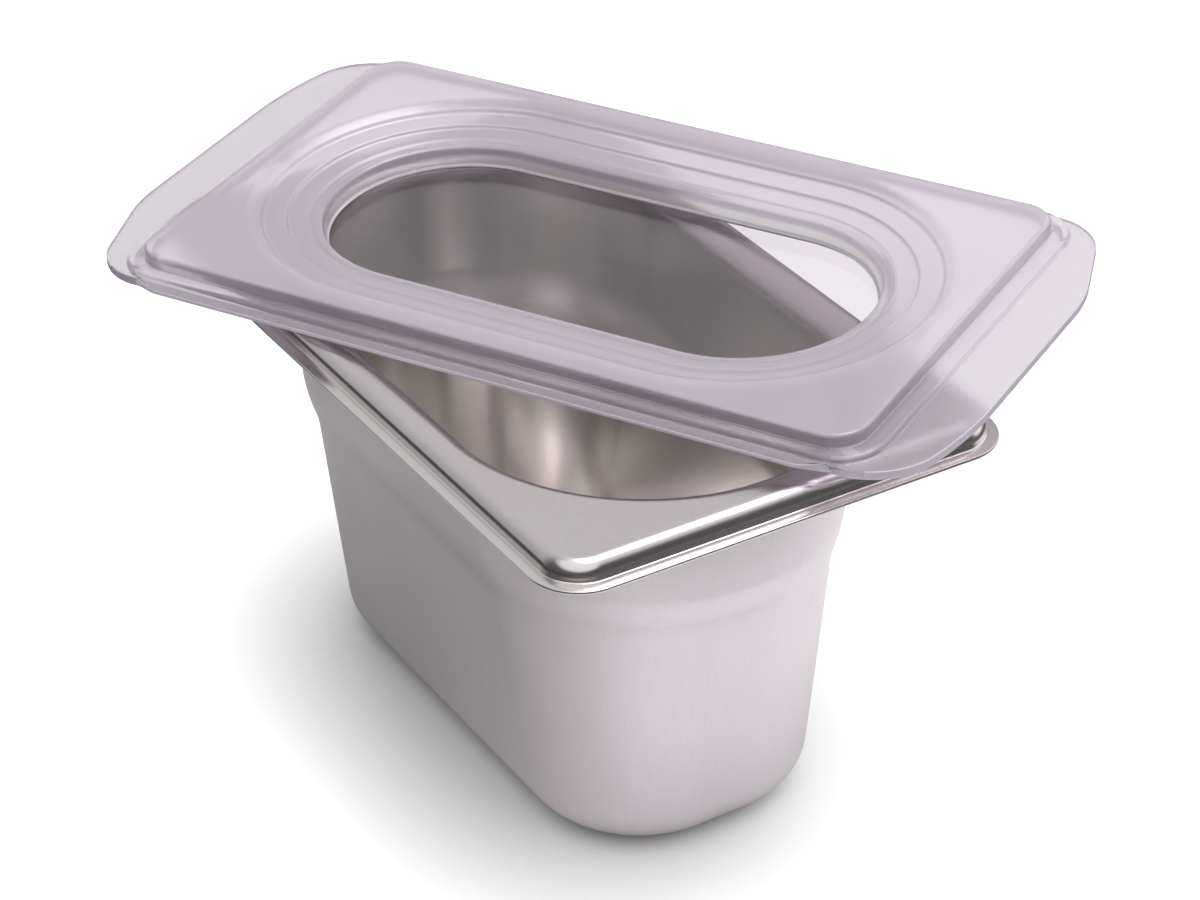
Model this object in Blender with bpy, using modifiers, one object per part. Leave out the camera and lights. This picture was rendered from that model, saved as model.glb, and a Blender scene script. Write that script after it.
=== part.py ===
"""Ingredient pan with a loose see-through lid: a ninth-size pressed steel pan, and a soft moulded
lid with a clear window, lying turned across the pan's rim.

Units are metres, +Z is up, the pan's length runs along X and the origin is the middle of its base."""

import math

import bmesh
import bpy
from mathutils import Euler, Matrix, Vector

# Fit
GAP = 0.0003
WELD = 0.000005
ARC_STEPS = 12

# Pan: plan of the rim
RIM_LENGTH = 0.176
RIM_WIDTH = 0.108
RIM_CORNER = 0.0114
RIM_LEDGE = 0.0027
BAND_CORNER = 0.0072

# Pan: pressed section, from the rim inwards and down
SHEET = 0.0008
BAND_HEIGHT = 0.0045
BAND_ROUND = 0.00135
SHELF_END = 0.0068
MOUTH_ROUND = 0.0048
END_INSET = 0.0015
NECK_DEPTH = 0.0226
NECK_TAPER = 0.0018
SHOULDER_DROP = 0.0147
SHOULDER_STEP = 0.0037
BODY_TAPER = 0.0054
BODY_DEPTH = 0.0925
BASE_ROUND = 0.0098

# Pan: how far each level's end is flat, either side of its middle
MOUTH_FLAT = 0.0005
SHOULDER_FLAT = 0.0022
FOOT_FLAT = 0.0060

# Lid: height of each level over the underside of its side flanges
FLANGE_THICK = 0.00105
TREAD_HEIGHT = 0.00225
PLATFORM_HEIGHT = 0.0051
WING_DROP = 0.0010
PLUG_DROP = 0.0051

# Lid: plan, from the pan's band outwards
LID_WALL = 0.0015
LID_PLAY_END = 0.0034
LID_PLAY_SIDE = 0.0008
SKIRT_CORNER = 0.0105
SKIRT_DRAFT = 0.0006
WING_REACH = 0.0121
WING_SIDE = 0.0002
WING_END_HALF = 0.0255
WING_SLOPE = 17.5
WING_EASE = 0.030
WING_CORNER = 0.0128
SWEEP_END_HALF = 0.0325
SWEEP_SLOPE = 16.0
SWEEP_EASE = 0.075
SWEEP_CORNER = 0.0150
FLANGE_REACH = 0.0028
FLANGE_CORNER = 0.0025
PLATE_LIP = 0.0003

# Lid: plan, from the skirt inwards
TREAD_END = 0.0035
TREAD_SIDE = 0.0025
PLATFORM_CORNER = 0.0080
PLATFORM_ROUND = 0.00106
BORDER_END = 0.0058
BORDER_SIDE = 0.0055

# Lid: bends of the dish, each as a distance in from its rim and a depth under the platform
DISH_BENDS = (
    (0.0000, 0.00000),
    (0.0014, 0.00035),
    (0.0030, 0.00147),
    (0.0037, 0.00195),
    (0.0080, 0.00245),
    (0.0089, 0.00300),
    (0.0128, 0.00360),
)
BEAD_BENDS = (
    (0.0136, 0.00390),
    (0.0145, 0.00405),
    (0.0157, 0.00430),
    (0.0164, 0.00510),
)

# Window in the bottom of the dish
WINDOW_THICK = 0.0008
WINDOW_TOP = 0.0035
WINDOW_EMBED = 0.0010

# Where the lid lies
LID_CENTRE = (-0.01190, 0.01553)
LID_TURN = 28.635

# Sizes that follow
BAND_TOP = BODY_DEPTH + BAND_HEIGHT
SKIRT_HALF = (
    RIM_LENGTH / 2 - RIM_LEDGE + LID_PLAY_END + LID_WALL,
    RIM_WIDTH / 2 - RIM_LEDGE + LID_PLAY_SIDE + LID_WALL,
)
WING_HALF = (SKIRT_HALF[0] + WING_REACH, SKIRT_HALF[1] + WING_SIDE)
FLANGE_HALF = (SKIRT_HALF[0] - SKIRT_CORNER, SKIRT_HALF[1] + FLANGE_REACH)
PLATFORM_HALF = (SKIRT_HALF[0] - SKIRT_DRAFT - TREAD_END, SKIRT_HALF[1] - SKIRT_DRAFT - TREAD_SIDE)
DISH_HALF = PLATFORM_HALF[1] - BORDER_SIDE
DISH_STRAIGHT = PLATFORM_HALF[0] - BORDER_END - DISH_HALF
WELL_HALF = DISH_HALF - BEAD_BENDS[-1][0]
WINDOW_HALF = WELL_HALF + WINDOW_EMBED
PLUG_HALF = WINDOW_HALF + GAP + LID_WALL / 2


def clear_scene():
    for item in list(bpy.data.objects):
        bpy.data.objects.remove(item, do_unlink=True)


def make_collection(name):
    group = bpy.data.collections.new(name)
    bpy.context.scene.collection.children.link(group)
    return group


def make_material(name, color, roughness, metallic=0.0, alpha=1.0):
    material = bpy.data.materials.new(name)
    material.use_nodes = True
    shader = material.node_tree.nodes["Principled BSDF"]
    shader.inputs["Base Color"].default_value = (*color, 1.0)
    shader.inputs["Roughness"].default_value = roughness
    shader.inputs["Metallic"].default_value = metallic
    shader.inputs["Alpha"].default_value = alpha
    return material


def round_outline(half_length, half_width, corner, height):
    """Points of a level rectangle with round corners, each corner with the same count of points"""
    points = []
    for corner_index, (side_x, side_y) in enumerate(((1, 1), (-1, 1), (-1, -1), (1, -1))):
        centre = Vector((side_x * (half_length - corner), side_y * (half_width - corner), height))
        for step in range(ARC_STEPS + 1):
            angle = math.radians(90.0) * (corner_index + step / ARC_STEPS)
            points.append(centre + corner * Vector((math.cos(angle), math.sin(angle), 0.0)))
    return points


def pan_outline(inset, height, corner):
    """The rim's outline, set in by an inset"""
    return round_outline(RIM_LENGTH / 2 - inset, RIM_WIDTH / 2 - inset, corner, height)


def dish_outline(half_width, height):
    """An outline with fully round ends"""
    return round_outline(DISH_STRAIGHT + half_width, half_width, half_width, height)


def skin(mesh_data, rings):
    """Vertices of each ring, joined to the next ring by a band of faces"""
    loops = [[mesh_data.verts.new(point) for point in ring] for ring in rings]
    for lower, upper in zip(loops, loops[1:]):
        for index, vertex in enumerate(lower):
            other = (index + 1) % len(lower)
            mesh_data.faces.new((vertex, lower[other], upper[other], upper[index]))
    return loops


def add_object(name, mesh_data, material, group, parent=None):
    """A welded, outward facing mesh as a named object"""
    bmesh.ops.remove_doubles(mesh_data, verts=mesh_data.verts, dist=WELD)
    bmesh.ops.recalc_face_normals(mesh_data, faces=mesh_data.faces)
    mesh = bpy.data.meshes.new(name)
    mesh_data.to_mesh(mesh)
    mesh_data.free()
    mesh.materials.append(material)
    mesh.shade_smooth()
    mesh.set_sharp_from_angle(angle=math.radians(35.0))
    item = bpy.data.objects.new(name, mesh)
    group.objects.link(item)
    item.parent = parent
    return item


def quarter_round(start, end, rounding, steps=4):
    """Points (across, height) of a rounded edge that leaves start level and ends upright at end"""
    points = []
    for step in range(steps + 1):
        angle = math.radians(90.0) * step / steps
        across = start + (end - start) * math.sin(angle)
        points.append((across, rounding * (math.cos(angle) - 1.0)))
    return points


def rim_rings():
    """Rings of the pan's upper face, from the edge of the rim to the mouth"""
    rim_top = BODY_DEPTH + SHEET / 2
    band_flat = RIM_LEDGE + BAND_ROUND
    rings = [pan_outline(0.0, rim_top, RIM_CORNER)]
    rings.append(pan_outline(RIM_LEDGE, rim_top, RIM_CORNER - RIM_LEDGE))
    for inset, drop in reversed(quarter_round(band_flat, RIM_LEDGE, BAND_ROUND)):
        rings.append(pan_outline(inset, BAND_TOP + drop, BAND_CORNER + band_flat - inset))
    return rings


def body_outline(inset, height, flat):
    """An outline below the shelf: nearly round ends, set in a little further than the sides"""
    half_length = RIM_LENGTH / 2 - inset - END_INSET
    half_width = RIM_WIDTH / 2 - inset
    return round_outline(half_length, half_width, half_width - flat, height)


def body_rings():
    """Rings of the pan's inner face, from the shelf over the mouth and down to the base"""
    wall = SHELF_END + MOUTH_ROUND
    rings = []
    for inset, drop in quarter_round(SHELF_END, wall, MOUTH_ROUND, 5):
        rings.append(body_outline(inset, BAND_TOP + drop, MOUTH_FLAT))
    neck_end = BODY_DEPTH - NECK_DEPTH
    for step in range(7):
        share = step / 6
        inset = wall + NECK_TAPER + SHOULDER_STEP * (1.0 - math.cos(math.pi * share)) / 2
        flat = MOUTH_FLAT + (SHOULDER_FLAT - MOUTH_FLAT) * share
        rings.append(body_outline(inset, neck_end - SHOULDER_DROP * share, flat))
    foot = wall + NECK_TAPER + SHOULDER_STEP + BODY_TAPER
    base_top = SHEET
    inner_round = BASE_ROUND - SHEET
    for step in range(6):
        angle = math.radians(90.0) * step / 5
        inset = foot + inner_round * (1.0 - math.cos(angle))
        height = base_top + inner_round * (1.0 - math.sin(angle))
        rings.append(body_outline(inset, height, FOOT_FLAT))
    return rings


def build_pan(group, steel):
    """Open pressed skin along the pan's upper and inner face, thickened outwards"""
    mesh_data = bmesh.new()
    loops = skin(mesh_data, rim_rings() + body_rings())
    mesh_data.faces.new(loops[-1])
    pan = add_object("pan", mesh_data, steel, group)
    shell = pan.modifiers.new("sheet", "SOLIDIFY")
    shell.thickness = SHEET
    shell.offset = -1.0
    shell.use_even_offset = True
    return pan


def fillet_corner(before, corner, after, radius, steps=6):
    """Points of the arc that rounds one corner of a flat outline"""
    to_before = (before - corner).normalized()
    to_after = (after - corner).normalized()
    half_angle = to_before.angle(to_after) / 2
    reach = radius / math.tan(half_angle)
    centre = corner + (to_before + to_after).normalized() * radius / math.sin(half_angle)
    first = corner + to_before * reach - centre
    last = corner + to_after * reach - centre
    sweep = first.angle_signed(last)
    return [centre + first @ Matrix.Rotation(sweep * step / steps, 2) for step in range(steps + 1)]


def wing_corner(end_half, slope, ease, corner):
    """Points of one corner of a wing, from its end edge round to its side, at +X and +Y"""
    half_length, half_width = WING_HALF
    slope_run = (half_width - end_half) * math.tan(math.radians(slope))
    low_end = Vector((half_length, 0.0))
    end = Vector((half_length, end_half))
    side = Vector((half_length - slope_run, half_width))
    top = Vector((0.0, half_width))
    return fillet_corner(low_end, end, side, ease) + fillet_corner(end, side, top, corner)


def wing_outline():
    """Outline of the two pull wings. Each has one corner with a straight slope and one that is
    swept in a wide curve, and half a turn of the lid brings one wing onto the other."""
    straight = wing_corner(WING_END_HALF, WING_SLOPE, WING_EASE, WING_CORNER)
    swept = wing_corner(SWEEP_END_HALF, SWEEP_SLOPE, SWEEP_EASE, SWEEP_CORNER)
    right = [Vector((point.x, -point.y)) for point in reversed(swept)] + straight
    left = [-point for point in right]
    return right + left


def side_outline(side):
    """Outline of the narrow flange along one long side, from inside the skirt's wall outwards"""
    half_length, half_width = FLANGE_HALF
    inner = side * (SKIRT_HALF[1] - LID_WALL / 2)
    outer = side * half_width
    roots = [Vector((half_length, inner)), Vector((-half_length, inner))]
    ends = [Vector((-half_length, outer)), Vector((half_length, outer))]
    left = fillet_corner(roots[1], ends[0], ends[1], FLANGE_CORNER)
    right = fillet_corner(ends[0], ends[1], roots[0], FLANGE_CORNER)
    return roots + left + right


def make_plate(name, outlines, low, high):
    """A flat plate from filled outlines, an outline within another being a hole in it"""
    curve = bpy.data.curves.new(name, "CURVE")
    curve.dimensions = "2D"
    curve.fill_mode = "BOTH"
    curve.extrude = (high - low) / 2
    for outline in outlines:
        spline = curve.splines.new("POLY")
        spline.points.add(len(outline) - 1)
        for spline_point, point in zip(spline.points, outline):
            spline_point.co = (point.x, point.y, 0.0, 1.0)
        spline.use_cyclic_u = True
    drawn = bpy.data.objects.new(name, curve)
    bpy.context.scene.collection.objects.link(drawn)
    evaluated = drawn.evaluated_get(bpy.context.evaluated_depsgraph_get())
    mesh = bpy.data.meshes.new_from_object(evaluated)
    mesh.name = name
    bpy.data.objects.remove(drawn, do_unlink=True)
    mesh_data = bmesh.new()
    mesh_data.from_mesh(mesh)
    bmesh.ops.remove_doubles(mesh_data, verts=mesh_data.verts, dist=WELD)
    for vertex in mesh_data.verts:
        vertex.co.z = high if vertex.co.z > 0.0 else low
    bmesh.ops.recalc_face_normals(mesh_data, faces=mesh_data.faces)
    mesh_data.to_mesh(mesh)
    mesh_data.free()
    return mesh


def add_cutter(name, mesh, group, parent):
    cutter = bpy.data.objects.new(name, mesh)
    group.objects.link(cutter)
    cutter.parent = parent
    cutter.display_type = "WIRE"
    cutter.hide_render = True
    return cutter


def skirt_rings():
    """Rings of the lid's outer face: skirt, tread and the wall up to the platform"""
    half_length, half_width = SKIRT_HALF
    top_length = half_length - SKIRT_DRAFT
    top_width = half_width - SKIRT_DRAFT
    rings = [
        round_outline(half_length, half_width, SKIRT_CORNER, 0.0),
        round_outline(top_length, top_width, SKIRT_CORNER - SKIRT_DRAFT, TREAD_HEIGHT),
    ]
    half_length, half_width = PLATFORM_HALF
    rings.append(round_outline(half_length, half_width, PLATFORM_CORNER, TREAD_HEIGHT))
    for inset, drop in reversed(quarter_round(PLATFORM_ROUND, 0.0, PLATFORM_ROUND, 3)):
        corner = PLATFORM_CORNER - inset
        level = PLATFORM_HEIGHT + drop
        rings.append(round_outline(half_length - inset, half_width - inset, corner, level))
    return rings


def dish_rings():
    """Rings of the dish, from the platform's edge down past the bead to the well"""
    bends = DISH_BENDS + BEAD_BENDS
    return [dish_outline(DISH_HALF - inset, PLATFORM_HEIGHT - depth) for inset, depth in bends]


def socket_rings():
    """Rings of the well's foot, with the groove that holds the window's edge"""
    groove_top = -WINDOW_TOP + GAP
    groove_low = -WINDOW_TOP - WINDOW_THICK - GAP
    groove = WINDOW_HALF + GAP
    return [
        dish_outline(WELL_HALF, groove_top),
        dish_outline(groove, groove_top),
        dish_outline(groove, groove_low),
        dish_outline(WELL_HALF, groove_low),
        dish_outline(WELL_HALF, -PLUG_DROP),
        dish_outline(PLUG_HALF, -PLUG_DROP),
    ]


def underside_rings():
    """Rings of the lid's lower face, from the plug out to the inside of the skirt"""
    _, last_depth = DISH_BENDS[-1]
    rings = [dish_outline(PLUG_HALF, PLATFORM_HEIGHT - last_depth - LID_WALL - GAP)]
    for inset, depth in reversed(DISH_BENDS):
        half_width = DISH_HALF - inset + LID_WALL / 2
        rings.append(dish_outline(half_width, PLATFORM_HEIGHT - depth - LID_WALL))
    half_length, half_width = PLATFORM_HALF
    inside_corner = PLATFORM_CORNER - LID_WALL / 2
    platform_under = PLATFORM_HEIGHT - LID_WALL
    tread_under = TREAD_HEIGHT - LID_WALL
    for level in (platform_under, tread_under):
        rings.append(round_outline(half_length - LID_WALL, half_width - LID_WALL, inside_corner, level))
    half_length, half_width = SKIRT_HALF
    inside_corner = SKIRT_CORNER - LID_WALL / 2
    for level in (tread_under, 0.0):
        rings.append(round_outline(half_length - LID_WALL, half_width - LID_WALL, inside_corner, level))
    return rings


def build_lid_body(group, cutters, silicone, seat):
    """One moulded ring of skirt, platform and dish, with the wings and side flanges joined on"""
    mesh_data = bmesh.new()
    rings = skirt_rings() + dish_rings() + socket_rings() + underside_rings()
    skin(mesh_data, rings + rings[:1])
    body = add_object("lid_body", mesh_data, silicone, group, seat)
    half_length, half_width = SKIRT_HALF
    inset = LID_WALL + PLATE_LIP
    hole = round_outline(half_length - inset, half_width - inset, SKIRT_CORNER - inset, 0.0)
    plates = (
        ("wing_shape", (wing_outline(), hole), -WING_DROP, FLANGE_THICK),
        ("side_flange_shape", (side_outline(1), side_outline(-1)), 0.0, FLANGE_THICK),
    )
    for name, outlines, low, high in plates:
        shape = add_cutter(name, make_plate(name, outlines, low, high), cutters, seat)
        union = body.modifiers.new(name, "BOOLEAN")
        union.operation = "UNION"
        union.solver = "EXACT"
        union.object = shape
    return body


def build_lid_window(group, clear, seat):
    """Flat clear pane whose edge sits in the dish wall's groove"""
    mesh_data = bmesh.new()
    levels = (-WINDOW_TOP - WINDOW_THICK, -WINDOW_TOP)
    loops = skin(mesh_data, [dish_outline(WINDOW_HALF, level) for level in levels])
    for loop in loops:
        mesh_data.faces.new(loop)
    return add_object("lid_window", mesh_data, clear, group, seat)


def lid_rest():
    """Place and turn of the leaning lid: the plug lies on the pan's far shelf and the wing's
    underside on the near edge of the band, so the lean follows from their heights"""
    near_line = RIM_WIDTH / 2 - RIM_LEDGE - BAND_ROUND
    far_line = RIM_WIDTH / 2 - SHELF_END
    lean = math.asin((PLUG_DROP - WING_DROP) / (near_line + far_line))
    centre_x, centre_y = LID_CENTRE
    rise = (WING_DROP + GAP + (near_line + centre_y) * math.sin(lean)) / math.cos(lean)
    turn = Euler((lean, 0.0, math.radians(LID_TURN)), "ZYX")
    return Vector((centre_x, centre_y, BAND_TOP + rise)), turn


def build_seat(group):
    seat = bpy.data.objects.new("lid_seat", None)
    seat.empty_display_size = 0.02
    seat.rotation_mode = "ZYX"
    seat.location, seat.rotation_euler = lid_rest()
    group.objects.link(seat)
    return seat


def main():
    clear_scene()
    group = make_collection("topping_station")
    cutters = make_collection("cutters")
    steel = make_material("brushed_steel", (0.62, 0.59, 0.60), 0.32, metallic=1.0)
    silicone = make_material("frosted_silicone", (0.72, 0.68, 0.76), 0.45, alpha=0.75)
    clear = make_material("clear_plastic", (0.90, 0.90, 0.92), 0.05, alpha=0.25)
    build_pan(group, steel)
    seat = build_seat(group)
    build_lid_body(group, cutters, silicone, seat)
    build_lid_window(group, clear, seat)


main()
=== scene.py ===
"""Small steel ingredient pan with a frosted pull-wing lid lying turned across its rim."""

import math

import bmesh
import bpy
from mathutils import Matrix, Vector


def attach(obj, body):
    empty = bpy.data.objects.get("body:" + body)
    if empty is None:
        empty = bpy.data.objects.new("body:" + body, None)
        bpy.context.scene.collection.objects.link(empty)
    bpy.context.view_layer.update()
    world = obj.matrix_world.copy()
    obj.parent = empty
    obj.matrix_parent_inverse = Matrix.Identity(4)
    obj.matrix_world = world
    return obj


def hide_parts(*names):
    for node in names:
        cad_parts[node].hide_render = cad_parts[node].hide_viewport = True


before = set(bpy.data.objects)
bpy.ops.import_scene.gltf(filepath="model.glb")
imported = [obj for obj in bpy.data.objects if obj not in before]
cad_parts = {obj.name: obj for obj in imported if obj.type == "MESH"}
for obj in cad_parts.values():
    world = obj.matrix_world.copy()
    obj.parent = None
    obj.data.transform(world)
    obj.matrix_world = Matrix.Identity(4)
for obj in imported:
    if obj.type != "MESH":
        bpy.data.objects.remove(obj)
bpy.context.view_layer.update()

MM = 0.001
CORNER_STEPS = 28

# Pan sizes in millimetres, on the upper and inner face of its sheet. The lip slopes a little, and
# the neck and the shoulder are bent corners where the CAD follows a curve.
RIM_HALF = (88.0, 54.0)
RIM_CORNER = 11.4
RIM_LEDGE = 2.7
LIP_TOP = 92.9
LIP_SLOPE = 0.15
BAND_TOP = 97.0
END_INSET = 1.5
MOUTH_INSET = 11.6
NECK_INSET = 13.7
NECK_END = 66.2
SHOULDER_INSET = 16.65
SHOULDER_END = 59.0
FOOT_INSET = 23.6
MOUTH_FLAT = 0.5
SHOULDER_FLAT = 2.2
FOOT_FLAT = 6.0
SHEET = 0.8
TRIM = 0.2

# Edges that turn by more degrees than this are trimmed, and flat faces weigh this much in normals
TRIM_ANGLE = 50.0
FLAT_WEIGHT = 60

# Bends: radius in millimetres and steps. The band's is rounder than in the CAD.
NO_BEND = (0.0, 0)
LEDGE_BEND = (0.35, 3)
BAND_BEND = (3.2, 12)
MOUTH_BEND = (4.8, 12)
NECK_BEND = (3.5, 9)
FOOT_BEND = (9.0, 14)
FLANGE_BEND = (0.35, 3)
SKIRT_BEND = (0.3, 3)
TREAD_BEND = (0.5, 4)
RISER_BEND = (0.4, 3)
PLATFORM_BEND = (1.06, 7)
PLUG_BEND = (0.1, 2)

# Lid sizes in millimetres, around and above the lid's own centre. Lean and turn are degrees, and
# FULL_ROUND is the dish's corner radius as a share of its half width.
LID_PLACE = (-11.90, 15.53, 101.067)
LID_LEAN = 2.4188
LID_TURN = 28.635
WING_HALF = (102.3, 53.8)
FLANGE_HALF = (76.6, 56.4)
NOTCH_END = 81.6
NOTCH = 4.0
FLANGE_TOP = 1.05
WING_FOOT = -1.0
SKIRT_HALF = (90.2, 53.6)
SKIRT_CORNER = 10.5
SKIRT_DRAFT = 0.6
TREAD = 2.25
PLATFORM_HALF = (86.1, 50.5)
PLATFORM_CORNER = 8.0
PLATFORM = 5.1
WALL = 1.5
DISH_STRAIGHT = 35.3
FULL_ROUND = 0.985
WELL = 28.6
WELL_LIP = 0.5
PLUG_FOOT = -5.1
WINDOW_TOP = -3.5
WINDOW_THICK = 0.8
WINDOW_EMBED = 1.0
GAP = 0.3

# A corner of a wing: half of the wing's straight end, the slope from there to the side in degrees
# off the end, and the radii where the slope meets the end and the side
WING_STRAIGHT = (25.5, 17.5, 30.0, 12.8)
WING_SWEPT = (32.5, 16.0, 75.0, 15.0)
WING_END_STEPS = 5
WING_SIDE_STEPS = 11
NOTCH_STEPS = 4
FLANGE_STEPS = 5

# Where the lid's materials change: this far inside the platform's edge and outside the skirt, and
# a face counts as level when its normal stands higher than this
THICK_INSIDE = 0.3
EDGE_OUTSIDE = 0.2
LEVEL_NORMAL = 0.9

# Looks of the grain: scale, stretch along Z, change of colour, and height in metres
STEEL_GRAIN = (1400.0, 30.0, 0.10, 0.000002)
SILICONE_GRAIN = (2200.0, 1.0, 0.05, 0.000005)
WINDOW_GRAIN = (90.0, 1.0, 0.03, 0.000004)
GRAIN_DETAIL = 3.0
CLOUD_SCALE = 28.0
CLOUD_DETAIL = 2.0

# Steel
RIM_TONE = (0.72, 0.67, 0.68, 1.0)
# The inside walls' paler colour is painted light down the inside of the pan
INNER_WALL_PAINTED_LIGHT = (0.95, 0.925, 0.895, 1.0)
OUTER_WALL = (0.71, 0.655, 0.685, 1.0)
INNER_SATIN = 0.24
OUTER_SATIN = 0.30
RIM_POLISH = 0.20

# Silicone: colour, a darker colour on steep steps and in the dish as painted shade, and how much
# light passes
THICK_SILICONE = ((0.76, 0.695, 0.77, 1.0), (0.61, 0.55, 0.635, 1.0), 0.62)
THIN_SILICONE = ((0.71, 0.655, 0.72, 1.0), (0.69, 0.635, 0.71, 1.0), 0.78)
# The outer edges' paler, less see-through silicone is painted light
EDGE_SILICONE_PAINTED_LIGHT = ((0.84, 0.78, 0.87, 1.0), (0.84, 0.77, 0.88, 1.0), 0.35)
# The well's paler tint is painted light on its under-lit wall
WELL_PAINTED_LIGHT = (0.93, 0.89, 0.92, 1.0)
SILICONE_IOR = 1.41
SILICONE_SATIN = 0.26
SILICONE_COAT = 0.6
SILICONE_COAT_SATIN = 0.22

# Window
WINDOW_TINT = (0.79, 0.745, 0.79, 1.0)
WINDOW_IOR = 1.49
WINDOW_SATIN = 0.03

# Ramps: where a smooth change starts and ends, and the values there. It starts and ends at places
# in metres, for the lights on wall and ceiling at cosines, and for the painted shade on steep steps
# at squared ones.
BAND_ACROSS = (-0.0052, -0.0042, 0.0, 1.0)
BAND_UP = (0.0905, 0.0915, 0.0, 1.0)
TOP_TO_WALL = (0.0955, 0.0880, 0.0, 1.0)
# The next two ramps darken the silicone's colour in the dish and on steep steps: painted shade
DISH_PAINTED_SHADE = (0.0425, 0.0405, 0.0, 0.2)
STEEP_PAINTED_SHADE = (0.85, 0.25, 0.0, 1.0)
UPPER_SIDE = (-0.0010, 0.0, 0.0, 1.0)
DOWN_THE_WELL = (-0.0004, -0.0012, 0.0, 1.0)
WALL_LIGHT = (-0.3, 0.55, 0.10, 0.66)
CEILING_LIGHT = (0.60, 0.84, 0.0, 1.05)
# The floor's grey tone across it is painted shade, and its glow is painted light that steel reflects
FLOOR_PAINTED_SHADE = (-0.07, 0.07, 0.38, 0.53)
TABLE_END = (0.15, 0.22, 0.0, 0.85)
CONTACT_SHADE = (-0.04, 0.07, 2.0, 0.6)
GLOW_FADE = (0.07, 0.20, 1.1, 0.60)
GLOW_ACROSS = (-0.08, 0.05, 0.15, 0.50)

# Studio
WALL_SIDE = (-0.82, 0.57, 0.0)
CEILING_SIDE = (0.386, -0.226, 0.894)
SOFT_LIGHT = 0.35
MIRRORED_DIM = 0.55
TABLE_ACROSS = (1.0, 1.0, 0.0)
SHADED_SIDE = (0.3, 1.0, 0.0)
FLOOR_HALF = 3.0
FLOOR_DROP = 0.0002
FLOOR_ROUGHNESS = 0.9
FLOOR_WHITE = 1.35
FLOOR_THROUGH = 0.64
CONTACT_REACH = 0.045
CONTACT_SAMPLES = 8

# Lamps: place, target, side and power
TOP_LIGHT = ((0.02, 0.34, 1.14), (0.0, 0.0, 0.10), 0.60, 6.4)
SIDE_LIGHT = ((0.15, 0.80, 0.55), (0.0, 0.0, 0.08), 0.90, 1.5)

# Camera, solved from straight edges of the rim, the lid and the pan's foot: metres, degrees, and
# millimetres for lens and sensor
CAMERA_PLACE = (0.55232, -0.32427, 0.46351)
CAMERA_DOWN = 32.439
CAMERA_TURN = 57.531
CAMERA_LENS = 105.05
CAMERA_SHIFT = (-0.0609, 0.0180)
SENSOR = 36.0


def tangent_length(before, corner, after, radius):
    """How far from a polygon's corner an arc of that radius starts"""
    half_angle = (before - corner).angle(after - corner) / 2
    return radius / math.tan(half_angle)


def outline(shape, corners, height):
    """A level loop of edges: the corners of a polygon, each rounded by its own radius"""
    old_edges = set(shape.edges)
    points = [Vector((x, y, 0.0)) * MM for x, y, _, _ in corners]
    sharp = [shape.verts.new((point.x, point.y, height)) for point in points]
    shape.faces.new(sharp)
    for index, (vert, (_, _, radius, steps)) in enumerate(zip(sharp, corners)):
        after = points[(index + 1) % len(points)]
        bmesh.ops.bevel(
            shape,
            geom=[vert],
            offset=tangent_length(points[index - 1], points[index], after, radius * MM),
            offset_type="OFFSET",
            segments=steps,
            profile=0.5,
            affect="VERTICES",
            material=-1,
            clamp_overlap=False,
        )
    edges = [edge for edge in shape.edges if edge not in old_edges]
    faces = {face for edge in edges for face in edge.link_faces}
    bmesh.ops.delete(shape, geom=list(faces), context="FACES_ONLY")
    return edges


def box_corners(half_x, half_y, corner):
    signs = ((1, 1), (-1, 1), (-1, -1), (1, -1))
    return [(sx * half_x, sy * half_y, corner, CORNER_STEPS) for sx, sy in signs]


def pan_corners(inset, corner):
    return box_corners(RIM_HALF[0] - inset, RIM_HALF[1] - inset, corner)


def body_corners(inset, flat):
    """The pan's plan below the shelf: nearly round ends, set in a little further than the sides"""
    half_y = RIM_HALF[1] - inset
    return box_corners(RIM_HALF[0] - inset - END_INSET, half_y, half_y - flat)


def dish_corners(half_width):
    return box_corners(DISH_STRAIGHT + half_width, half_width, half_width * FULL_ROUND)


def loft(shape, sections, closed=False):
    """Faces from each section's outline to the next. A section is its corners, its height, and the
    radius and steps of the bend there. The outlines are joined well apart, so that none twists, and
    then go to their heights."""
    spread = 0.05
    loops = [outline(shape, section[0], spread * index) for index, section in enumerate(sections)]
    pairs = list(zip(loops, loops[1:]))
    if closed:
        pairs.append((loops[-1], loops[0]))
    for low, high in pairs:
        bmesh.ops.bridge_loops(shape, edges=low + high)
    for index, (loop, section) in enumerate(zip(loops, sections)):
        verts = list({vert for edge in loop for vert in edge.verts})
        lift = section[1] * MM - spread * index
        bmesh.ops.translate(shape, verts=verts, vec=(0.0, 0.0, lift))
    return loops


def round_bends(shape, loops, sections):
    for loop, (_, _, radius, steps) in zip(loops, sections):
        if radius > 0.0:
            bmesh.ops.bevel(
                shape,
                geom=loop,
                offset=radius * MM,
                offset_type="OFFSET",
                segments=steps,
                profile=0.5,
                affect="EDGES",
                material=-1,
                clamp_overlap=False,
            )


def finish_piece(name, shape, materials, body, cad_node):
    bmesh.ops.recalc_face_normals(shape, faces=shape.faces)
    mesh = bpy.data.meshes.new(name)
    shape.to_mesh(mesh)
    shape.free()
    mesh.shade_smooth()
    for material in materials:
        mesh.materials.append(material)
    piece = bpy.data.objects.new(name, mesh)
    bpy.context.scene.collection.objects.link(piece)
    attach(piece, body)
    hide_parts(cad_node)
    return piece


def weigh_normals(piece):
    """Keeps the flats flat right up to their rounded edges"""
    weighted = piece.modifiers.new("flat_faces", "WEIGHTED_NORMAL")
    weighted.keep_sharp = True
    weighted.weight = FLAT_WEIGHT


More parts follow.
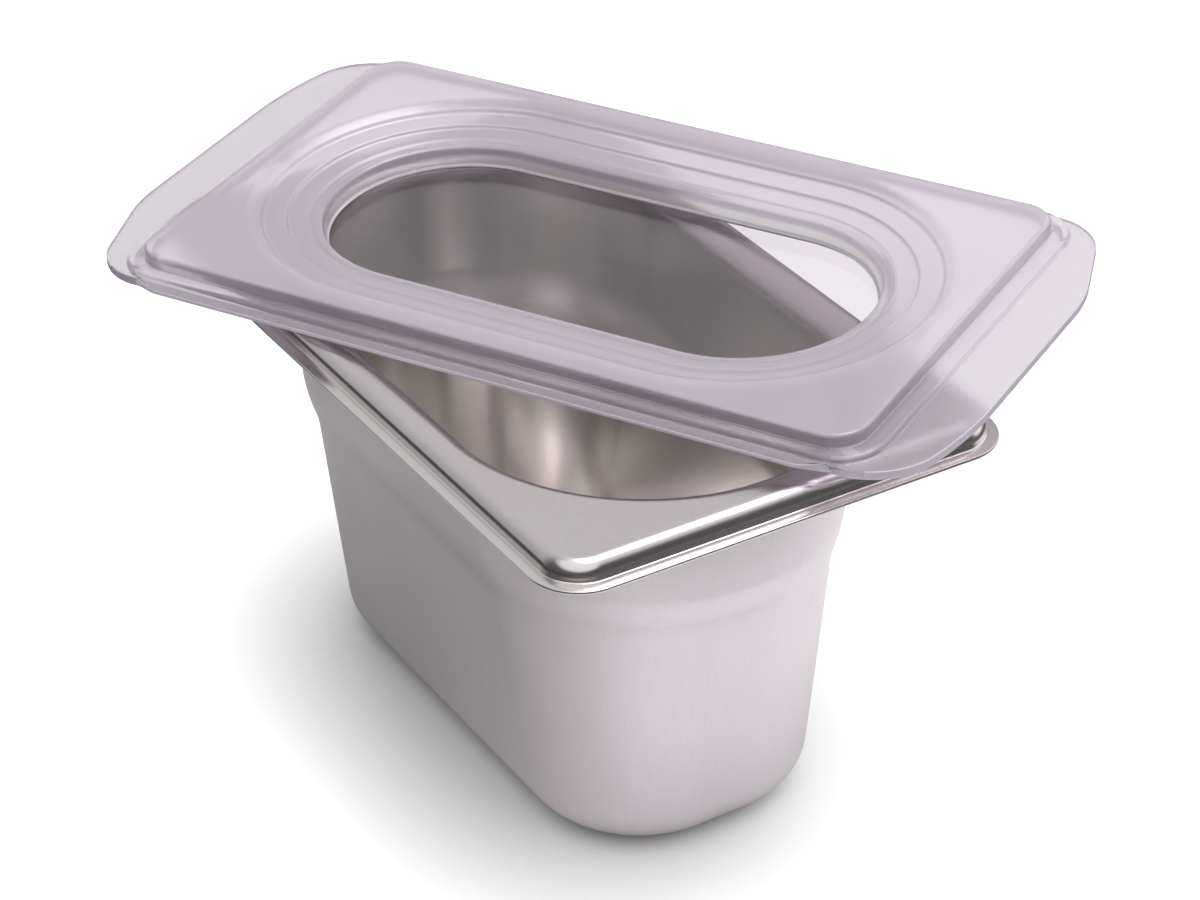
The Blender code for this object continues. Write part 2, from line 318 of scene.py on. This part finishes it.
def build_pan(inner_steel_painted_light, outer_steel):
    """The pressed skin from the lip's edge to the base, given its sheet thickness. The skin that is
    modelled shows from above and inside, and the sheet's other face from outside and below."""
    shape = bmesh.new()
    ledge = pan_corners(RIM_LEDGE, RIM_CORNER - RIM_LEDGE)
    sections = [
        (pan_corners(0.0, RIM_CORNER), LIP_TOP - LIP_SLOPE, *NO_BEND),
        (ledge, LIP_TOP, *LEDGE_BEND),
        (ledge, BAND_TOP, *BAND_BEND),
        (body_corners(MOUTH_INSET, MOUTH_FLAT), BAND_TOP, *MOUTH_BEND),
        (body_corners(NECK_INSET, MOUTH_FLAT), NECK_END, *NECK_BEND),
        (body_corners(SHOULDER_INSET, SHOULDER_FLAT), SHOULDER_END, *NECK_BEND),
        (body_corners(FOOT_INSET, FOOT_FLAT), SHEET, *FOOT_BEND),
    ]
    loops = loft(shape, sections)
    bmesh.ops.contextual_create(shape, geom=loops[-1])
    round_bends(shape, loops, sections)
    pan = finish_piece("pan_shell", shape, (inner_steel_painted_light, outer_steel), "pan", "pan")
    sheet = pan.modifiers.new("sheet", "SOLIDIFY")
    sheet.thickness = SHEET * MM
    sheet.offset = -1.0
    sheet.use_even_offset = True
    sheet.material_offset = 1
    edge = pan.modifiers.new("trimmed_edge", "BEVEL")
    edge.width = TRIM * MM
    edge.segments = 2
    edge.limit_method = "ANGLE"
    edge.angle_limit = math.radians(TRIM_ANGLE)
    weigh_normals(pan)


def lid_place():
    lean = Matrix.Rotation(math.radians(LID_LEAN), 4, "X")
    turn = Matrix.Rotation(math.radians(LID_TURN), 4, "Z")
    return Matrix.Translation(Vector(LID_PLACE) * MM) @ lean @ turn


def wing_corners(end_half, slope, end_radius, side_radius):
    """Corners of the lid's plan in one quarter: a wing's end and side, then the notch where the
    narrow flange of the long side starts"""
    slope_run = (WING_HALF[1] - end_half) * math.tan(math.radians(slope))
    return [
        (WING_HALF[0], end_half, end_radius, WING_END_STEPS),
        (WING_HALF[0] - slope_run, WING_HALF[1], side_radius, WING_SIDE_STEPS),
        (NOTCH_END, WING_HALF[1], NOTCH, NOTCH_STEPS),
        (FLANGE_HALF[0], FLANGE_HALF[1], NOTCH, FLANGE_STEPS),
    ]


def flange_corners():
    """Corners of the lid's plan. Each wing has one straight slope and one that is swept in a wide
    curve, and half a turn of the lid brings one wing onto the other."""
    upper = wing_corners(*WING_STRAIGHT)
    swept = wing_corners(*WING_SWEPT)
    upper += [(-x, y, radius, steps) for x, y, radius, steps in reversed(swept)]
    return upper + [(-x, -y, radius, steps) for x, y, radius, steps in upper]


def dish_sections():
    """From the platform's inner edge down the stepped dish and the well, round the window's groove,
    and back up and out along the underside"""
    groove = WELL + WINDOW_EMBED + GAP
    plug = groove + WALL / 2
    window_low = WINDOW_TOP - WINDOW_THICK
    # Half width of the dish, height, and the bend's radius and steps
    rounds = (
        (44.6, 5.10, 1.0, 5),
        (42.4, 3.70, 0.25, 3),
        (41.7, 2.85, 0.45, 4),
        (37.1, 2.70, 0.35, 4),
        (36.4, 1.85, 0.45, 4),
        (32.3, 1.65, 0.35, 4),
        (31.8, 1.15, 0.2, 3),
        (31.0, 1.40, 0.35, 4),
        (29.3, 0.95, 0.45, 4),
        (WELL + 0.4, 0.0, 0.3, 2),
        (WELL, WINDOW_TOP + 0.85, 0.1, 2),
        (WELL - WELL_LIP, WINDOW_TOP + GAP, 0.05, 1),
        (groove, WINDOW_TOP + GAP, *NO_BEND),
        (groove, window_low - GAP, *NO_BEND),
        (groove - GAP, window_low - GAP, *NO_BEND),
        (groove - GAP, PLUG_FOOT, *PLUG_BEND),
        (plug, PLUG_FOOT, *PLUG_BEND),
        (plug, -0.45, *NO_BEND),
        (32.95, 0.0, *NO_BEND),
        (36.85, 0.60, *NO_BEND),
        (37.75, 1.15, *NO_BEND),
        (42.05, 1.65, *NO_BEND),
        (42.75, 2.15, *NO_BEND),
        (45.25, 3.60, *NO_BEND),
    )
    return [(dish_corners(half), height, radius, steps) for half, height, radius, steps in rounds]


def lid_sections():
    """Sections of the moulded ring: flange, skirt, tread and platform, then the dish, and the
    platform and the skirt again on the inside of the wall"""
    skirt_x, skirt_y = SKIRT_HALF
    platform_x, platform_y = PLATFORM_HALF
    skirt = box_corners(skirt_x, skirt_y, SKIRT_CORNER)
    tread = box_corners(skirt_x - SKIRT_DRAFT, skirt_y - SKIRT_DRAFT, SKIRT_CORNER - SKIRT_DRAFT)
    platform = box_corners(platform_x, platform_y, PLATFORM_CORNER)
    inside = box_corners(platform_x - WALL, platform_y - WALL, PLATFORM_CORNER - WALL / 2)
    skirt_inside = box_corners(skirt_x - WALL, skirt_y - WALL, SKIRT_CORNER - WALL / 2)
    outer = [
        (flange_corners(), WING_FOOT, *FLANGE_BEND),
        (flange_corners(), FLANGE_TOP, *FLANGE_BEND),
        (skirt, FLANGE_TOP, *SKIRT_BEND),
        (tread, TREAD, *TREAD_BEND),
        (platform, TREAD, *RISER_BEND),
        (platform, PLATFORM, *PLATFORM_BEND),
    ]
    inner = [
        (inside, PLATFORM - WALL, *RISER_BEND),
        (inside, TREAD - WALL, *SKIRT_BEND),
        (skirt_inside, TREAD - WALL, *NO_BEND),
        (skirt_inside, WING_FOOT, *SKIRT_BEND),
    ]
    return outer + dish_sections() + inner


def raise_flange(foot):
    """Lifts the underside of the long sides' flanges above the wings' underside, evenly across the
    notch between them"""
    for vert in {vert for edge in foot for vert in edge.verts}:
        past_wing = abs(vert.co.y) / MM - WING_HALF[1]
        rise = past_wing / (FLANGE_HALF[1] - WING_HALF[1])
        vert.co.z -= min(max(rise, 0.0), 1.0) * WING_FOOT * MM


def lid_slot(face):
    """Which material a face of the lid takes: 0 the thick platform and dish, 1 the thinner flange,
    wings and skirt around it, and 2 the outer edge of the flange and the wings, whose paler colour
    is painted light"""
    middle = face.calc_center_median() / MM
    reach = (abs(middle.x), abs(middle.y))
    if all(way < half - THICK_INSIDE for way, half in zip(reach, PLATFORM_HALF)):
        return 0
    outside = any(way > half + EDGE_OUTSIDE for way, half in zip(reach, SKIRT_HALF))
    return 2 if outside and abs(face.normal.z) < LEVEL_NORMAL else 1


def build_lid(materials):
    """The moulded ring with its flange and wings, in the three materials of lid_slot"""
    shape = bmesh.new()
    sections = lid_sections()
    loops = loft(shape, sections, closed=True)
    raise_flange(loops[0])
    round_bends(shape, loops, sections)
    shape.normal_update()
    for face in shape.faces:
        face.material_index = lid_slot(face)
    bmesh.ops.transform(shape, matrix=lid_place(), verts=shape.verts)
    lid = finish_piece("lid_moulding", shape, materials, "lid", "lid_body")
    weigh_normals(lid)


def build_window(material):
    shape = bmesh.new()
    edge = dish_corners(WELL + WINDOW_EMBED)
    sections = [(edge, WINDOW_TOP - WINDOW_THICK, *NO_BEND), (edge, WINDOW_TOP, *NO_BEND)]
    for loop in loft(shape, sections):
        bmesh.ops.contextual_create(shape, geom=loop)
    bmesh.ops.transform(shape, matrix=lid_place(), verts=shape.verts)
    pane = finish_piece("lid_pane", shape, [material], "lid", "lid_window")
    weigh_normals(pane)


def new_material(name):
    material = bpy.data.materials.new(name)
    material.use_nodes = True
    return material, material.node_tree.nodes, material.node_tree.links


def plug_in(links, socket, value):
    """Links a socket or sets a number"""
    if isinstance(value, bpy.types.NodeSocket):
        links.new(value, socket)
    else:
        socket.default_value = value


def add_math(nodes, links, operation, first, second=0.0):
    """A Math node on two sockets or numbers, and its output"""
    node = nodes.new("ShaderNodeMath")
    node.operation = operation
    plug_in(links, node.inputs[0], first)
    plug_in(links, node.inputs[1], second)
    return node.outputs[0]


def add_range(nodes, links, value, ramp):
    """The value put through one of the ramps"""
    node = nodes.new("ShaderNodeMapRange")
    node.interpolation_type = "SMOOTHSTEP"
    for name, number in zip(("From Min", "From Max", "To Min", "To Max"), ramp):
        node.inputs[name].default_value = number
    links.new(value, node.inputs["Value"])
    return node.outputs["Result"]


def add_mix(nodes, links, factor, first, second):
    """Goes from the first colour to the second as factor goes from 0 to 1"""
    node = nodes.new("ShaderNodeMix")
    node.data_type = "RGBA"
    plug_in(links, node.inputs["Factor"], factor)
    plug_in(links, node.inputs["A"], first)
    plug_in(links, node.inputs["B"], second)
    return node.outputs["Result"]


def add_noise(nodes, links, vector, scale, detail):
    node = nodes.new("ShaderNodeTexNoise")
    node.inputs["Detail"].default_value = detail
    plug_in(links, node.inputs["Scale"], scale)
    links.new(vector, node.inputs["Vector"])
    return node.outputs["Fac"]


def add_bump(nodes, links, height, distance):
    node = nodes.new("ShaderNodeBump")
    node.inputs["Distance"].default_value = distance
    links.new(height, node.inputs["Height"])
    return node.outputs["Normal"]


def along(nodes, links, vector, direction):
    """How far a vector reaches along a direction"""
    node = nodes.new("ShaderNodeVectorMath")
    node.operation = "DOT_PRODUCT"
    links.new(vector, node.inputs[0])
    node.inputs[1].default_value = Vector(direction).normalized()
    return node.outputs["Value"]


def grain_group():
    """Fine grain over soft clouds. Stretch draws the grain out along Z, Depth is how much the colour
    changes, and the roughness changes by the same share."""
    group = bpy.data.node_groups.new("surface_grain", "ShaderNodeTree")
    new_socket = group.interface.new_socket
    new_socket("Color", in_out="INPUT", socket_type="NodeSocketColor")
    for name in ("Roughness", "Scale", "Stretch", "Depth"):
        new_socket(name, in_out="INPUT", socket_type="NodeSocketFloat")
    new_socket("Color", in_out="OUTPUT", socket_type="NodeSocketColor")
    for name in ("Roughness", "Height"):
        new_socket(name, in_out="OUTPUT", socket_type="NodeSocketFloat")
    nodes, links = group.nodes, group.links
    given = nodes.new("NodeGroupInput").outputs
    place = nodes.new("ShaderNodeTexCoord").outputs["Object"]
    squeeze = nodes.new("ShaderNodeCombineXYZ")
    squeeze.inputs["X"].default_value = 1.0
    squeeze.inputs["Y"].default_value = 1.0
    links.new(add_math(nodes, links, "DIVIDE", 1.0, given["Stretch"]), squeeze.inputs["Z"])
    drawn = nodes.new("ShaderNodeMapping")
    links.new(place, drawn.inputs["Vector"])
    links.new(squeeze.outputs["Vector"], drawn.inputs["Scale"])
    fine = add_noise(nodes, links, drawn.outputs["Vector"], given["Scale"], GRAIN_DETAIL)
    clouds = add_noise(nodes, links, place, CLOUD_SCALE, CLOUD_DETAIL)
    both = add_math(nodes, links, "ADD", fine, clouds)
    swing = add_math(nodes, links, "SUBTRACT", both, 1.0)
    swing = add_math(nodes, links, "MULTIPLY", swing, given["Depth"])
    share = add_math(nodes, links, "ADD", swing, 1.0)
    shade = nodes.new("ShaderNodeVectorMath")
    shade.operation = "SCALE"
    links.new(given["Color"], shade.inputs[0])
    links.new(share, shade.inputs["Scale"])
    result = nodes.new("NodeGroupOutput").inputs
    links.new(shade.outputs["Vector"], result["Color"])
    links.new(add_math(nodes, links, "MULTIPLY", given["Roughness"], share), result["Roughness"])
    links.new(fine, result["Height"])
    return group


def add_grain(nodes, links, group, color, roughness, look):
    """Places the grain in a material and feeds the shader's colour, roughness and normal"""
    scale, stretch, depth, bump = look
    grain = nodes.new("ShaderNodeGroup")
    grain.node_tree = group
    plug_in(links, grain.inputs["Color"], color)
    plug_in(links, grain.inputs["Roughness"], roughness)
    grain.inputs["Scale"].default_value = scale
    grain.inputs["Stretch"].default_value = stretch
    grain.inputs["Depth"].default_value = depth
    shader = nodes["Principled BSDF"]
    links.new(grain.outputs["Color"], shader.inputs["Base Color"])
    links.new(grain.outputs["Roughness"], shader.inputs["Roughness"])
    links.new(add_bump(nodes, links, grain.outputs["Height"], bump), shader.inputs["Normal"])


def rim_mask(nodes, links, place):
    """One on the raised band and the lip of the pan, and none on the shelf and the walls"""
    reach = []
    for axis, half in zip("XY", RIM_HALF):
        length = add_math(nodes, links, "ABSOLUTE", place.outputs[axis])
        reach.append(add_math(nodes, links, "SUBTRACT", length, half * MM))
    outward = add_math(nodes, links, "MAXIMUM", *reach)
    band = add_range(nodes, links, outward, BAND_ACROSS)
    high = add_range(nodes, links, place.outputs["Z"], BAND_UP)
    return add_math(nodes, links, "MULTIPLY", band, high)


def steel_material(name, group, wall_color, roughness):
    """Satin drawn steel with a polished rim, in the rim's tone on top and another down the walls,
    which inside the pan is paler as painted light
    """
    material, nodes, links = new_material(name)
    nodes["Principled BSDF"].inputs["Metallic"].default_value = 1.0
    place = nodes.new("ShaderNodeSeparateXYZ")
    links.new(nodes.new("ShaderNodeTexCoord").outputs["Object"], place.inputs["Vector"])
    rim = rim_mask(nodes, links, place)
    polish = add_math(nodes, links, "MULTIPLY", rim, roughness - RIM_POLISH)
    satin = add_math(nodes, links, "SUBTRACT", roughness, polish)
    down = add_range(nodes, links, place.outputs["Z"], TOP_TO_WALL)
    color = add_mix(nodes, links, down, RIM_TONE, wall_color)
    add_grain(nodes, links, group, color, satin, STEEL_GRAIN)
    return material


def from_dish_middle(nodes, links, axes):
    """How far a point of the lid is from the straight line along the middle of the dish"""
    past_straight = add_math(nodes, links, "ABSOLUTE", axes.outputs["X"])
    past_straight = add_math(nodes, links, "SUBTRACT", past_straight, DISH_STRAIGHT * MM)
    past_straight = add_math(nodes, links, "MAXIMUM", past_straight, 0.0)
    ways = (past_straight, axes.outputs["Y"])
    squares = [add_math(nodes, links, "MULTIPLY", way, way) for way in ways]
    return add_math(nodes, links, "SQRT", add_math(nodes, links, "ADD", *squares))


def silicone_material(name, group, color, painted_shade_color, transmission):
    """Frosted and see-through, with painted shade darkening its colour on steep steps and in the
    dish, and painted light making it pale in the well
    """
    material, nodes, links = new_material(name)
    shader = nodes["Principled BSDF"]
    shader.inputs["IOR"].default_value = SILICONE_IOR
    shader.inputs["Transmission Weight"].default_value = transmission
    shader.inputs["Coat Weight"].default_value = SILICONE_COAT
    shader.inputs["Coat Roughness"].default_value = SILICONE_COAT_SATIN
    place = lid_place()
    local = nodes.new("ShaderNodeMapping")
    local.vector_type = "TEXTURE"
    local.inputs["Location"].default_value = place.translation
    local.inputs["Rotation"].default_value = place.to_euler()
    links.new(nodes.new("ShaderNodeTexCoord").outputs["Object"], local.inputs["Vector"])
    axes = nodes.new("ShaderNodeSeparateXYZ")
    links.new(local.outputs["Vector"], axes.inputs["Vector"])
    dish = add_range(nodes, links, from_dish_middle(nodes, links, axes), DISH_PAINTED_SHADE)
    normal = nodes.new("ShaderNodeNewGeometry").outputs["Normal"]
    upright = along(nodes, links, normal, place.to_3x3() @ Vector((0.0, 0.0, 1.0)))
    level = add_math(nodes, links, "MULTIPLY", upright, upright)
    # Painted shade: a darker colour on steep steps and in the dish
    steep = add_range(nodes, links, level, STEEP_PAINTED_SHADE)
    above = add_range(nodes, links, axes.outputs["Z"], UPPER_SIDE)
    painted_shade = add_math(nodes, links, "MULTIPLY", add_math(nodes, links, "MAXIMUM", steep, dish), above)
    tint = add_mix(nodes, links, painted_shade, color, painted_shade_color)
    # Painted light: a paler colour down the well
    well = add_range(nodes, links, axes.outputs["Z"], DOWN_THE_WELL)
    tint = add_mix(nodes, links, well, tint, WELL_PAINTED_LIGHT)
    add_grain(nodes, links, group, tint, SILICONE_SATIN, SILICONE_GRAIN)
    return material


def window_material(group):
    """Clear moulded plate with the faintest unevenness"""
    material, nodes, links = new_material("clear_window")
    shader = nodes["Principled BSDF"]
    shader.inputs["IOR"].default_value = WINDOW_IOR
    shader.inputs["Transmission Weight"].default_value = 1.0
    add_grain(nodes, links, group, WINDOW_TINT, WINDOW_SATIN, WINDOW_GRAIN)
    return material


def build_world():
    """White to the camera and through clear pieces, where each mirror bounce before dims it. Steel
    sees a studio: a bright ceiling that comes lower above the camera, a pale wall behind the object
    and a dim room below the ceiling."""
    world = bpy.data.worlds.new("studio")
    world.use_nodes = True
    nodes, links = world.node_tree.nodes, world.node_tree.links
    direction = nodes.new("ShaderNodeTexCoord").outputs["Generated"]
    path = nodes.new("ShaderNodeLightPath").outputs
    walls = add_range(nodes, links, along(nodes, links, direction, WALL_SIDE), WALL_LIGHT)
    soft = add_math(nodes, links, "MULTIPLY", path["Is Diffuse Ray"], SOFT_LIGHT)
    walls = add_math(nodes, links, "MAXIMUM", walls, soft)
    ceiling = add_range(nodes, links, along(nodes, links, direction, CEILING_SIDE), CEILING_LIGHT)
    room = add_math(nodes, links, "MAXIMUM", walls, ceiling)
    dimmed = add_math(nodes, links, "MULTIPLY", path["Glossy Depth"], MIRRORED_DIM)
    through = add_math(nodes, links, "SUBTRACT", path["Is Transmission Ray"], dimmed)
    seen = add_math(nodes, links, "MAXIMUM", path["Is Camera Ray"], through)
    strength = nodes.new("ShaderNodeMix")
    links.new(seen, strength.inputs["Factor"])
    links.new(room, strength.inputs["A"])
    strength.inputs["B"].default_value = 1.0
    background = nodes["Background"]
    background.inputs["Color"].default_value = (1.0, 1.0, 1.0, 1.0)
    links.new(strength.outputs["Result"], background.inputs["Strength"])
    bpy.context.scene.world = world


def floor_lift(nodes, links, place, path, tone, openness):
    """What brings the floor to white where the camera sees it, less close to what stands on it as a
    painted contact shadow
    """
    depth = add_range(nodes, links, along(nodes, links, place, SHADED_SIDE), CONTACT_SHADE)
    through = add_math(nodes, links, "MULTIPLY", path["Is Transmission Ray"], FLOOR_THROUGH)
    seen = add_math(nodes, links, "MAXIMUM", path["Is Camera Ray"], through)
    lift = add_math(nodes, links, "SUBTRACT", FLOOR_WHITE, tone)
    lift = add_math(nodes, links, "MULTIPLY", lift, seen)
    return add_math(nodes, links, "MULTIPLY", lift, add_math(nodes, links, "POWER", openness, depth))


def floor_material():
    """A pale floor, greyer on one side of the object as painted shade, lifted to white where the
    camera sees it and darkened close to what stands on it as a painted contact shadow. Steel sees a
    table that glows with painted light and ends in the dark."""
    material, nodes, links = new_material("white_floor")
    material.cycles.emission_sampling = "NONE"
    shader = nodes["Principled BSDF"]
    shader.inputs["Roughness"].default_value = FLOOR_ROUGHNESS
    shader.inputs["Specular IOR Level"].default_value = 0.0
    shader.inputs["Emission Color"].default_value = (1.0, 1.0, 1.0, 1.0)
    place = nodes.new("ShaderNodeTexCoord").outputs["Object"]
    path = nodes.new("ShaderNodeLightPath").outputs
    across = along(nodes, links, place, TABLE_ACROSS)
    tone = add_range(nodes, links, across, FLOOR_PAINTED_SHADE)
    length = nodes.new("ShaderNodeVectorMath")
    length.operation = "LENGTH"
    links.new(place, length.inputs[0])
    distance = length.outputs["Value"]
    mirrored = add_math(nodes, links, "SUBTRACT", path["Is Glossy Ray"], path["Is Transmission Ray"])
    mirrored = add_math(nodes, links, "MAXIMUM", mirrored, 0.0)
    beyond = add_range(nodes, links, distance, TABLE_END)
    beyond = add_math(nodes, links, "MULTIPLY", beyond, mirrored)
    table = add_math(nodes, links, "SUBTRACT", 1.0, beyond)
    table_tone = add_math(nodes, links, "MULTIPLY", tone, table)
    color = nodes.new("ShaderNodeCombineColor")
    for channel in ("Red", "Green", "Blue"):
        links.new(table_tone, color.inputs[channel])
    links.new(color.outputs["Color"], shader.inputs["Base Color"])
    open_sky = nodes.new("ShaderNodeAmbientOcclusion")
    open_sky.samples = CONTACT_SAMPLES
    open_sky.inputs["Distance"].default_value = CONTACT_REACH
    openness = open_sky.outputs["AO"]
    glow = add_range(nodes, links, across, GLOW_ACROSS)
    fade = add_range(nodes, links, distance, GLOW_FADE)
    for factor in (fade, table, mirrored, openness):
        glow = add_math(nodes, links, "MULTIPLY", glow, factor)
    lift = floor_lift(nodes, links, place, path, tone, openness)
    glow = add_math(nodes, links, "MAXIMUM", glow, lift)
    links.new(glow, shader.inputs["Emission Strength"])
    return material


def build_floor():
    shape = bmesh.new()
    bmesh.ops.create_grid(shape, x_segments=1, y_segments=1, size=FLOOR_HALF)
    mesh = bpy.data.meshes.new("studio_floor")
    shape.to_mesh(mesh)
    shape.free()
    mesh.materials.append(floor_material())
    floor = bpy.data.objects.new("studio_floor", mesh)
    bpy.context.scene.collection.objects.link(floor)
    floor.location.z = -FLOOR_DROP


def add_softbox(name, place, target, side, power):
    light = bpy.data.lights.new(name, "AREA")
    light.shape = "RECTANGLE"
    light.size = light.size_y = side
    light.energy = power
    lamp = bpy.data.objects.new(name, light)
    bpy.context.scene.collection.objects.link(lamp)
    lamp.location = place
    direction = Vector(target) - Vector(place)
    lamp.rotation_euler = direction.to_track_quat("-Z", "Y").to_euler()


def build_camera():
    data = bpy.data.cameras.new("camera")
    data.lens = CAMERA_LENS
    data.sensor_width = SENSOR
    data.shift_x, data.shift_y = CAMERA_SHIFT
    camera = bpy.data.objects.new("camera", data)
    bpy.context.scene.collection.objects.link(camera)
    camera.location = CAMERA_PLACE
    camera.rotation_euler = (math.radians(90.0 - CAMERA_DOWN), 0.0, math.radians(CAMERA_TURN))
    bpy.context.scene.camera = camera


bpy.context.scene.view_settings.view_transform = "Standard"
grain = grain_group()
# The inner steel's paler walls are painted light
inner_steel_painted_light = steel_material("inner_steel_painted_light", grain, INNER_WALL_PAINTED_LIGHT, INNER_SATIN)
outer_steel = steel_material("outer_steel", grain, OUTER_WALL, OUTER_SATIN)
build_pan(inner_steel_painted_light, outer_steel)
thick_silicone = silicone_material("frosted_silicone", grain, *THICK_SILICONE)
thin_silicone = silicone_material("thin_silicone", grain, *THIN_SILICONE)
# Paler silicone on the outer edges: painted light
edge_silicone_painted_light = silicone_material("edge_silicone_painted_light", grain, *EDGE_SILICONE_PAINTED_LIGHT)
build_lid((thick_silicone, thin_silicone, edge_silicone_painted_light))
build_window(window_material(grain))
build_world()
build_floor()
add_softbox("top_light", *TOP_LIGHT)
add_softbox("side_light", *SIDE_LIGHT)
build_camera()
